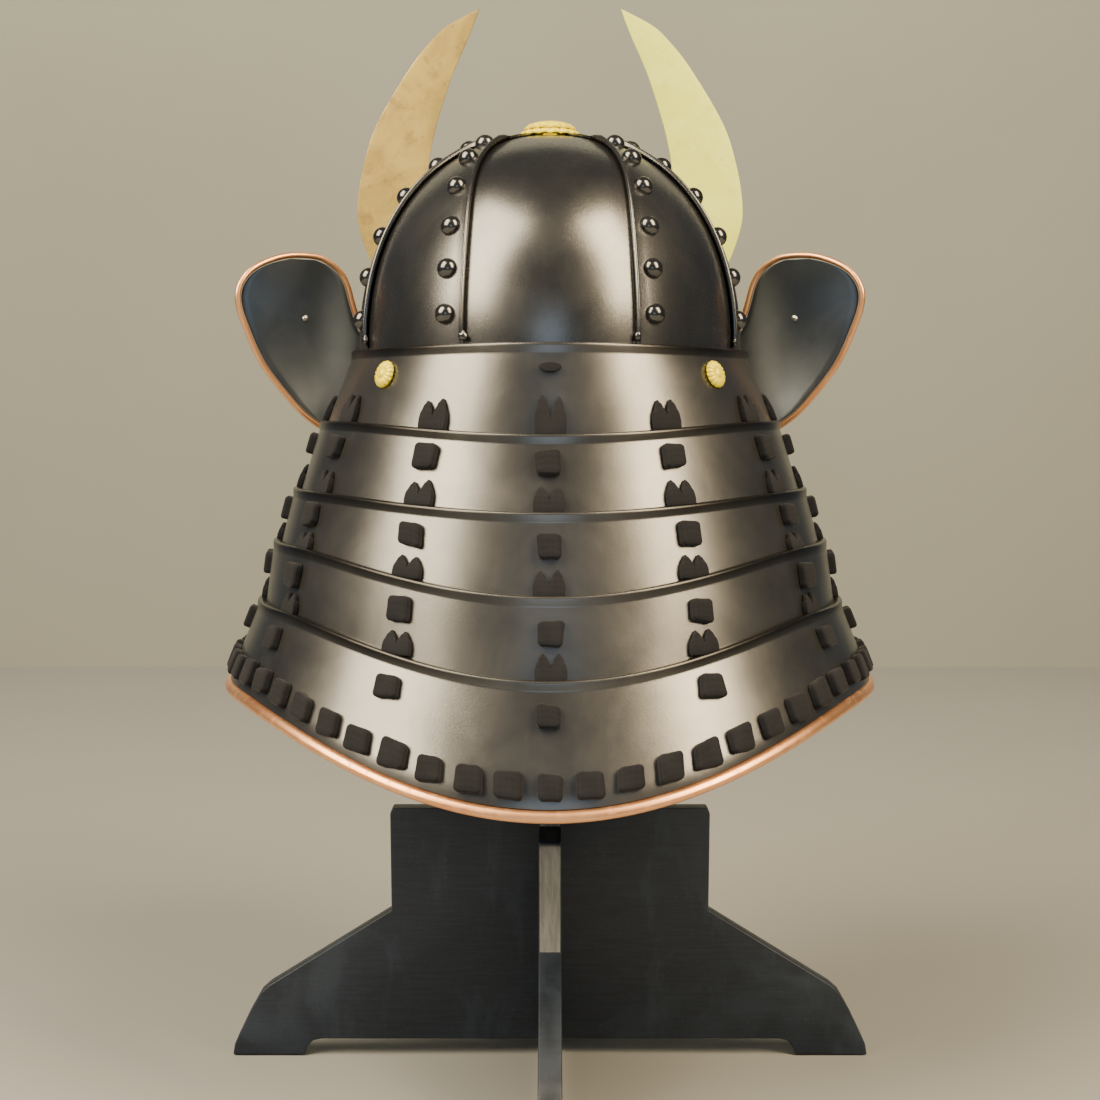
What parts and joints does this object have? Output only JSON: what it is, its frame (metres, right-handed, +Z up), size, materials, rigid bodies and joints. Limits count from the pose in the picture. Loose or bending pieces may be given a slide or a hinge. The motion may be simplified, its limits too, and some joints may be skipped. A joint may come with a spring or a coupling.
{
  "type": "kabuto samurai helmet on stand",
  "caption": "Riveted, ribbed samurai helmet bowl with turned-back ears, flaring laced neck lames, a visor and flat brass horns, resting on a cross-lapped board stand.",
  "frame": {"origin": "on the floor under the crossing of the stand's boards", "axes": "+Z up, -Y the way the brow and horns face, +Y the neck guard, +X the wearer's left"},
  "size_m": [0.361, 0.3841, 0.612],
  "materials": {
    "black_lacquer": "satin black lacquer on iron",
    "lame_lacquer": "satin black lacquer with a warm sheen",
    "copper_edging": "worn copper edging",
    "horn_brass": "mottled, tarnished brass sheet",
    "holder_brass": "plain brass sheet",
    "gold_fitting": "bright gilt fittings",
    "bright_steel": "bright pin ends",
    "stand_paint": "matt blue-black paint on plywood"
  },
  "bodies": {
    "root": {"stand_cross_board": "stand_paint", "stand_fore_board": "stand_paint", "bowl_plate_rear": "black_lacquer", "bowl_plate_rear_left": "black_lacquer", "bowl_plate_side_left": "black_lacquer", "bowl_plate_front_left": "black_lacquer", "bowl_plate_front": "black_lacquer", "bowl_plate_front_right": "black_lacquer", "bowl_plate_side_right": "black_lacquer", "bowl_plate_rear_right": "black_lacquer", "neck_lame_1": "lame_lacquer", "neck_lame_2": "lame_lacquer", "neck_lame_3": "lame_lacquer", "neck_lame_4": "lame_lacquer", "neck_lame_5": "lame_lacquer", "ear_rim_left": "copper_edging", "ear_rim_right": "copper_edging", "neck_rim": "copper_edging", "visor": "black_lacquer", "visor_rim": "copper_edging", "crown_boss": "gold_fitting", "horn_holder": "holder_brass", "horn_left": "horn_brass", "horn_right": "horn_brass", "gold_rivet_left": "gold_fitting", "gold_rivet_right": "gold_fitting", "ear_pin_left": "bright_steel", "ear_pin_right": "bright_steel"}
  },
  "joints": []
}
